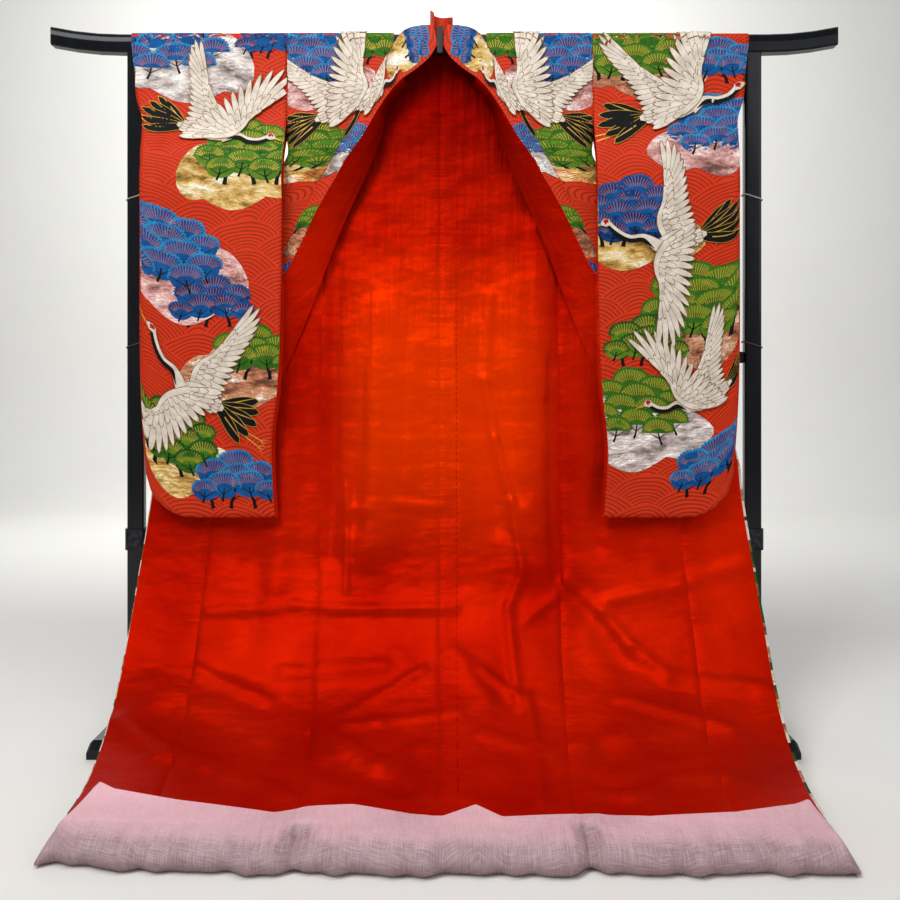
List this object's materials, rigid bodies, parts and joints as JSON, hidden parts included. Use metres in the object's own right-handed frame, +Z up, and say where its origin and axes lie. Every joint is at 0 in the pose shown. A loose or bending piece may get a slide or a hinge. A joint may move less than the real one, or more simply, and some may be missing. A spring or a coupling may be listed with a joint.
{
  "type": "uchikake wedding kimono on stand",
  "caption": "Long padded-hem wedding over-kimono of red crane and pine brocade, hung open on a black lacquered kimono stand so that its red silk lining shows.",
  "frame": {"origin": "on the floor, under the middle of the whole object's box", "axes": "+Z up; -Y is the side the open fronts and the lining face; +X to the right of a viewer in front"},
  "size_m": [1.666, 0.8734, 1.508],
  "materials": {
    "brocade": "woven silk brocade: red-orange ground with gold wave arcs, foil clouds, pines and cranes",
    "red_silk": "plain bright red silk lining with a soft sheen",
    "white_gauze": "thin white cotton gauze over red, so it reads pale pink",
    "black_lacquer": "gloss black lacquer",
    "dark_metal": "dark satin metal",
    "white_cord": "thin off-white cord",
    "purple_cord": "thin dark purple cord",
    "black_clip": "black plastic"
  },
  "bodies": {
    "root": {"back_left": "brocade", "back_lining_left": "red_silk", "back_lining_right": "red_silk", "back_right": "brocade", "collar_left": "brocade", "collar_lining_left": "red_silk", "collar_lining_right": "red_silk", "collar_neck": "brocade", "collar_right": "brocade", "ferrule_left": "dark_metal", "ferrule_right": "dark_metal", "foot_left": "black_lacquer", "foot_right": "black_lacquer", "front_left": "brocade", "front_lining_left": "red_silk", "front_lining_right": "red_silk", "front_right": "brocade", "hem_fuki": "red_silk", "hem_gauze": "white_gauze", "mid_rail": "black_lacquer", "neck_clip": "black_clip", "okumi_left": "brocade", "okumi_lining_left": "red_silk", "okumi_lining_right": "red_silk", "okumi_right": "brocade", "post_left": "black_lacquer", "post_right": "black_lacquer", "sleeve_left": "brocade", "sleeve_right": "brocade", "tie_purple_left": "purple_cord", "tie_purple_right": "purple_cord", "tie_white_left": "white_cord", "tie_white_right": "white_cord", "top_bar": "black_lacquer"}
  },
  "joints": []
}
